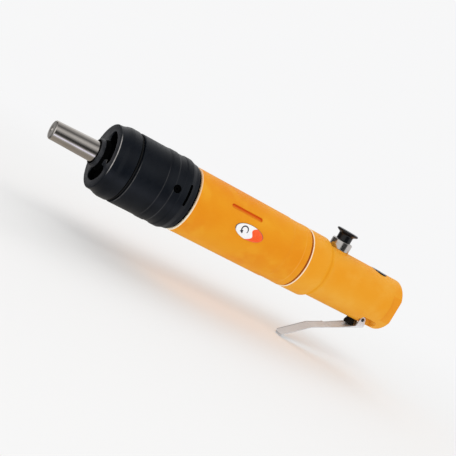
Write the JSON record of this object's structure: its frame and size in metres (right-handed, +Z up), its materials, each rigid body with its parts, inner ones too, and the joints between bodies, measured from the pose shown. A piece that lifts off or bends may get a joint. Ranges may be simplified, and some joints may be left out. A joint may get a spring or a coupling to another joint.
{
  "type": "straight pneumatic drill",
  "caption": "Hand-held in-line air drill: tapered chuck spindle, ported black nose and gear case, yellow motor housing and grip, squeeze throttle lever and push-button reverse.",
  "frame": {"origin": "bottom centre of the tool's bounding box, directly below the middle of its length and in its middle plane", "axes": "+X forward along the spindle, +Z up towards the reverse button, +Y to the tool's left"},
  "size_m": [0.3, 0.0522, 0.0936],
  "materials": {
    "cap_black": "satin black oxide, machined",
    "case_black": "satin black oxide, machined",
    "housing_yellow": "satin yellow-orange paint over aluminium",
    "handle_yellow": "satin yellow-orange paint over aluminium",
    "ground_steel": "ground and polished along the turning",
    "machined_steel": "turned steel",
    "cast_iron": "ground cast iron",
    "lever_steel": "bright zinc-plated pressed sheet",
    "black_plastic": "moulded black nylon",
    "black_rubber": "moulded nitrile",
    "dark_steel": "black oxide",
    "brass": "turned brass",
    "vane_composite": "phenolic laminate",
    "gasket_fibre": "fibre gasket",
    "badge_enamel": "printed enamel badge"
  },
  "bodies": {
    "casing": {"front_cap": "cap_black", "cap_o_ring": "black_rubber", "bearing_plate": "cast_iron", "nose_seal": "black_rubber", "nose_bearing_outer_ring": "machined_steel", "spindle_rear_bearing_outer_ring": "machined_steel", "ring_gear": "cast_iron", "gear_case": "case_black", "ring_lock_screw": "dark_steel", "front_end_plate": "cast_iron", "rear_end_plate": "cast_iron", "cylinder_liner": "machined_steel", "cylinder_dowel": "machined_steel", "rotor_front_bearing_outer_ring": "machined_steel", "rotor_rear_bearing_outer_ring": "machined_steel", "motor_gasket": "gasket_fibre", "motor_housing": "housing_yellow", "badge_plate": "badge_enamel", "handle": "handle_yellow", "handle_o_ring": "black_rubber", "inlet_bushing": "machined_steel", "inlet_screen": "brass", "reverse_bush": "ground_steel", "reverse_spring": "machined_steel", "throttle_plug": "dark_steel", "throttle_spring": "machined_steel", "valve_seat": "brass", "valve_guide": "brass", "lever_pin": "dark_steel"},
    "spindle_group": {"spindle": "ground_steel", "carrier_plate": "machined_steel", "planet_pin_1": "machined_steel", "planet_pin_2": "machined_steel", "planet_pin_3": "machined_steel", "nose_bearing_inner_ring": "machined_steel", "spindle_rear_bearing_inner_ring": "machined_steel", "spindle_circlip": "machined_steel"},
    "planet_1": {"planet_gear_1": "machined_steel"},
    "planet_2": {"planet_gear_2": "machined_steel"},
    "planet_3": {"planet_gear_3": "machined_steel"},
    "rotor_group": {"rotor": "machined_steel", "sun_pinion": "machined_steel", "vane_1": "vane_composite", "vane_2": "vane_composite", "vane_3": "vane_composite", "vane_4": "vane_composite", "vane_5": "vane_composite", "rotor_front_bearing_inner_ring": "machined_steel", "rotor_rear_bearing_inner_ring": "machined_steel"},
    "nose_balls": {"nose_bearing_ball_cage": "brass"},
    "spindle_rear_balls": {"spindle_rear_bearing_ball_cage": "brass"},
    "rotor_front_balls": {"rotor_front_bearing_ball_cage": "brass"},
    "rotor_rear_balls": {"rotor_rear_bearing_ball_cage": "brass"},
    "lever_arm": {"lever": "lever_steel"},
    "throttle_stem": {"throttle_valve": "machined_steel", "lever_plunger": "black_rubber"},
    "reverse_spool": {"reverse_button": "black_plastic"}
  },
  "joints": [
    {"name": "spindle_spin", "type": "hinge", "parent": "casing", "child": "spindle_group", "pos_m": [0.0463, 0, 0.05742], "axis": [1, 0, 0], "continuous": true},
    {"name": "rotor_spin", "type": "hinge", "parent": "casing", "child": "rotor_group", "pos_m": [0.0463, 0, 0.05742], "axis": [1, 0, 0], "continuous": true},
    {"name": "planet_1_spin", "type": "hinge", "parent": "spindle_group", "child": "planet_1", "pos_m": [0.0463, 0, 0.06957], "axis": [1, 0, 0], "continuous": true},
    {"name": "planet_2_spin", "type": "hinge", "parent": "spindle_group", "child": "planet_2", "pos_m": [0.0463, -0.01052, 0.05135], "axis": [1, 0, 0], "continuous": true},
    {"name": "planet_3_spin", "type": "hinge", "parent": "spindle_group", "child": "planet_3", "pos_m": [0.0463, 0.01052, 0.05135], "axis": [1, 0, 0], "continuous": true},
    {"name": "nose_balls_spin", "type": "hinge", "parent": "casing", "child": "nose_balls", "pos_m": [0.0463, 0, 0.05742], "axis": [1, 0, 0], "continuous": true},
    {"name": "spindle_rear_balls_spin", "type": "hinge", "parent": "casing", "child": "spindle_rear_balls", "pos_m": [0.0463, 0, 0.05742], "axis": [1, 0, 0], "continuous": true},
    {"name": "rotor_front_balls_spin", "type": "hinge", "parent": "casing", "child": "rotor_front_balls", "pos_m": [0.0463, 0, 0.05742], "axis": [1, 0, 0], "continuous": true},
    {"name": "rotor_rear_balls_spin", "type": "hinge", "parent": "casing", "child": "rotor_rear_balls", "pos_m": [0.0463, 0, 0.05742], "axis": [1, 0, 0], "continuous": true},
    {"name": "lever_press", "type": "hinge", "parent": "casing", "child": "lever_arm", "pos_m": [-0.1357, 0, 0.03932], "axis": [0, -1, 0], "range_deg": [0, 22]},
    {"name": "throttle_lift", "type": "slide", "parent": "casing", "child": "throttle_stem", "axis": [0, 0, 1], "range_m": [0, 0.0032], "deforming": ["throttle_spring"]},
    {"name": "reverse_push", "type": "slide", "parent": "casing", "child": "reverse_spool", "axis": [0, 0, -1], "range_m": [0, 0.005], "deforming": ["reverse_spring"]}
  ],
  "couplings": [
    {"joint": "rotor_spin", "follows": "spindle_spin", "ratio": 4.5},
    {"joint": "planet_1_spin", "follows": "spindle_spin", "ratio": -2.8},
    {"joint": "planet_2_spin", "follows": "spindle_spin", "ratio": -2.8},
    {"joint": "planet_3_spin", "follows": "spindle_spin", "ratio": -2.8},
    {"joint": "nose_balls_spin", "follows": "spindle_spin", "ratio": 0.4146},
    {"joint": "spindle_rear_balls_spin", "follows": "spindle_spin", "ratio": 0.4171},
    {"joint": "rotor_front_balls_spin", "follows": "spindle_spin", "ratio": 1.8211},
    {"joint": "rotor_rear_balls_spin", "follows": "spindle_spin", "ratio": 1.8211},
    {"joint": "throttle_lift", "follows": "lever_press", "m_per_rad": 0.00823}
  ]
}
